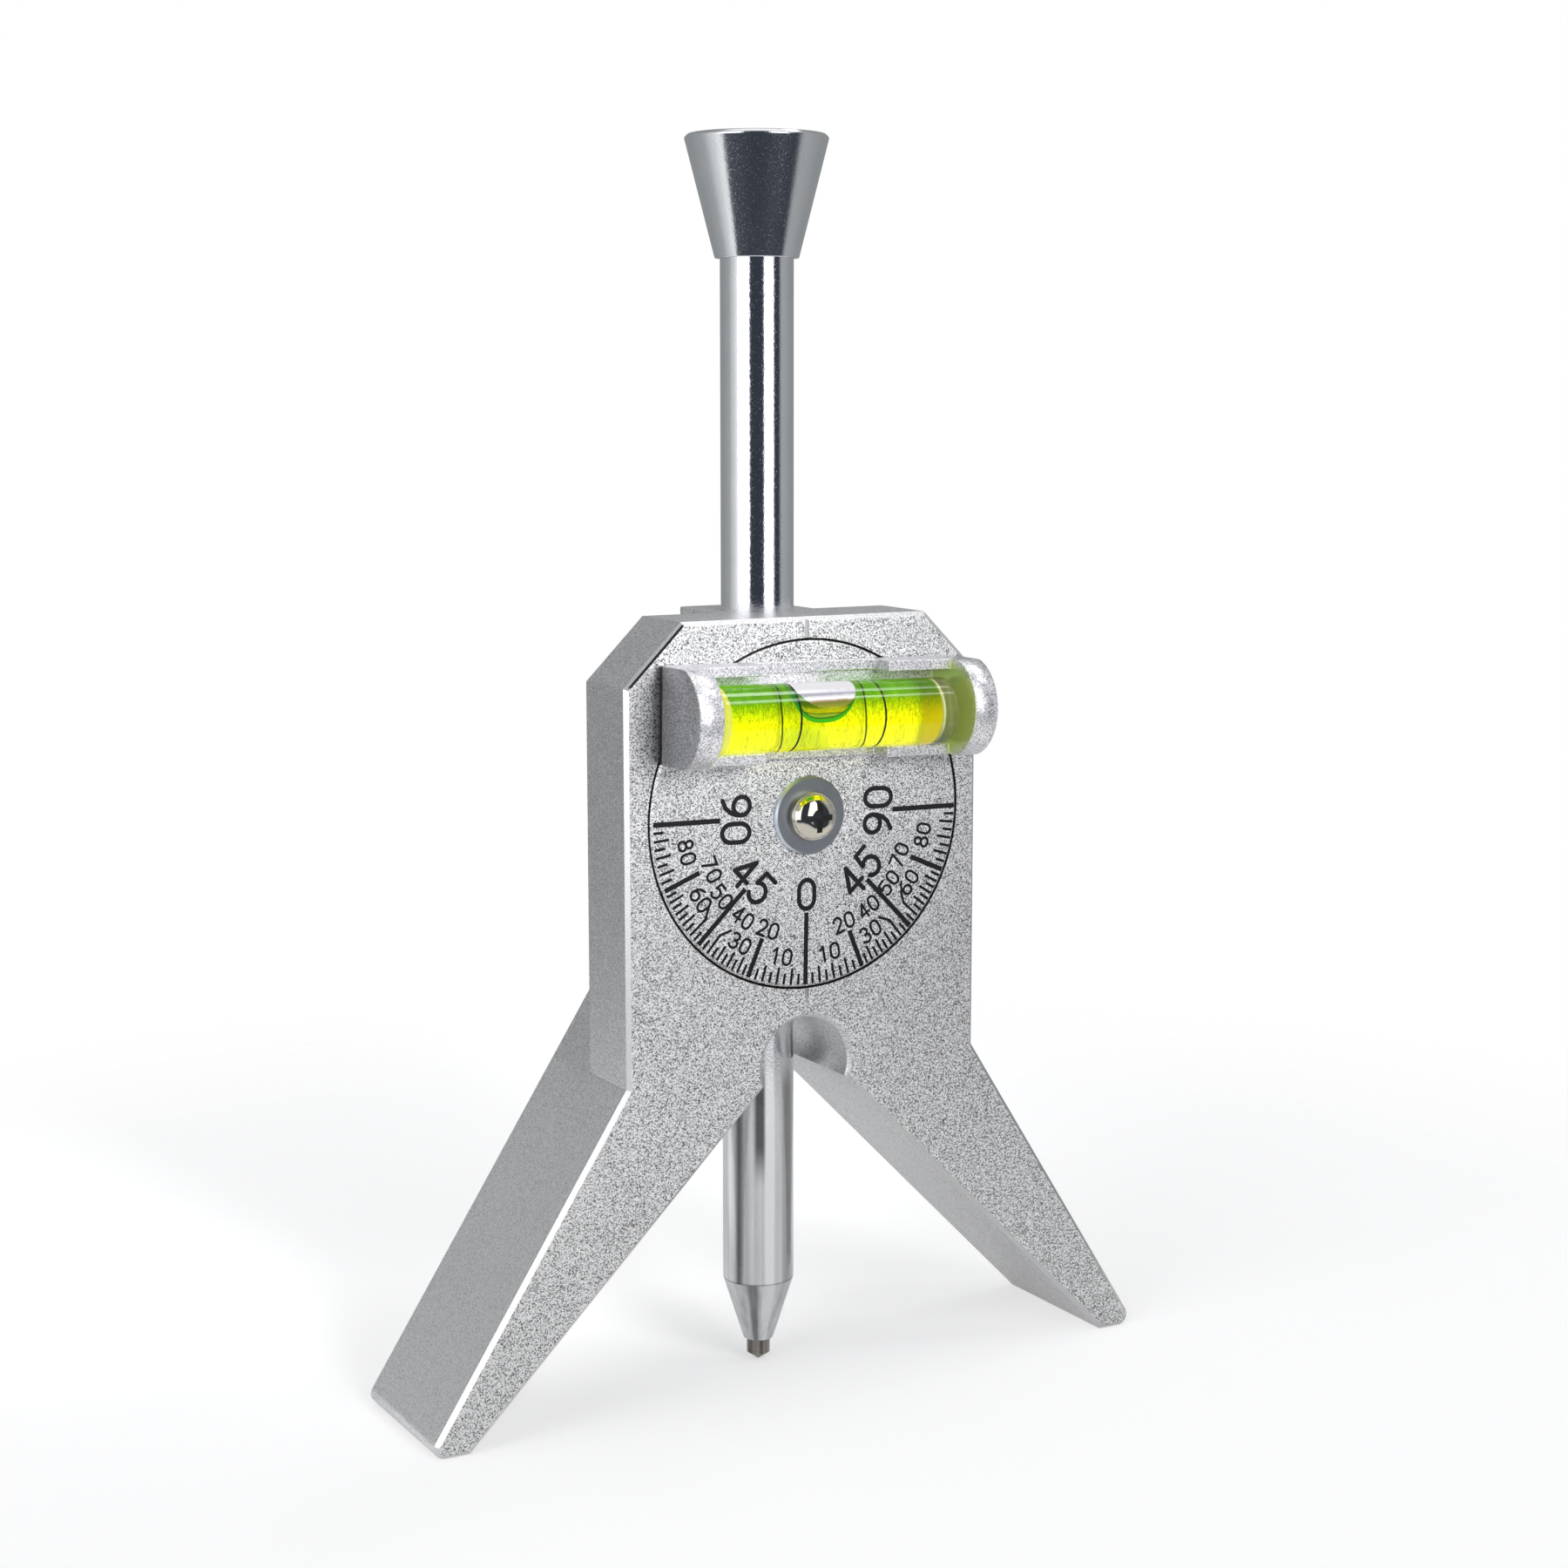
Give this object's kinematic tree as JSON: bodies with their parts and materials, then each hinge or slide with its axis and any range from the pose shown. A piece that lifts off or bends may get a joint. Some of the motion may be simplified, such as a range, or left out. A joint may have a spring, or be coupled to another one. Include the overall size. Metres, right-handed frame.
{
  "type": "pipe center finder",
  "caption": "V-shaped pipe center finder with a turning angle dial, a bubble level and a sliding center punch for marking pipe.",
  "frame": {"origin": "the point that the punch marks, on the punch's axis and level with the feet", "axes": "+Z along the punch towards its struck head, -Y towards the dial's face, +X to the right as the dial is read"},
  "size_m": [0.0932, 0.0303, 0.1452],
  "materials": {
    "head_aluminium": "bead-blasted, silver anodised",
    "friction_nylon": "matte",
    "dial_aluminium": "bead-blasted, silver anodised, black engraved scale",
    "washer_steel": "zinc plated",
    "screw_nickel": "nickel plated",
    "holder_aluminium": "bead-blasted, silver anodised",
    "clear_acrylic": "clear, polished",
    "plug_plastic": "gloss",
    "level_liquid": "clear liquid, yellow-green",
    "ring_black": "matte",
    "bubble_air": "clear",
    "punch_steel": "ground and polished",
    "tip_carbide": "ground"
  },
  "bodies": {
    "head": {"head": "head_aluminium", "friction_washer": "friction_nylon", "dial_washer": "washer_steel", "dial_screw": "screw_nickel"},
    "dial": {"dial": "dial_aluminium", "vial_holder": "holder_aluminium", "vial_tube": "clear_acrylic", "vial_plug": "plug_plastic", "vial_liquid": "level_liquid", "ring_left": "ring_black", "ring_right": "ring_black"},
    "bubble": {"vial_bubble": "bubble_air"},
    "punch": {"punch_shank": "punch_steel", "punch_head": "punch_steel", "punch_tip": "tip_carbide"}
  },
  "joints": [
    {"name": "dial_turn", "type": "hinge", "parent": "head", "child": "dial", "pos_m": [0, -0.0118, 0.06835], "axis": [0, 1, 0], "continuous": true},
    {"name": "bubble_slide", "type": "slide", "parent": "dial", "child": "bubble", "axis": [0.9999, 0, -0.0157], "range_m": [-0.0085, 0.0103], "stiffness_N_per_m": 0.5},
    {"name": "punch_slide", "type": "slide", "parent": "head", "child": "punch", "axis": [0, 0, 1], "range_m": [-0.0403, 0.044]}
  ]
}
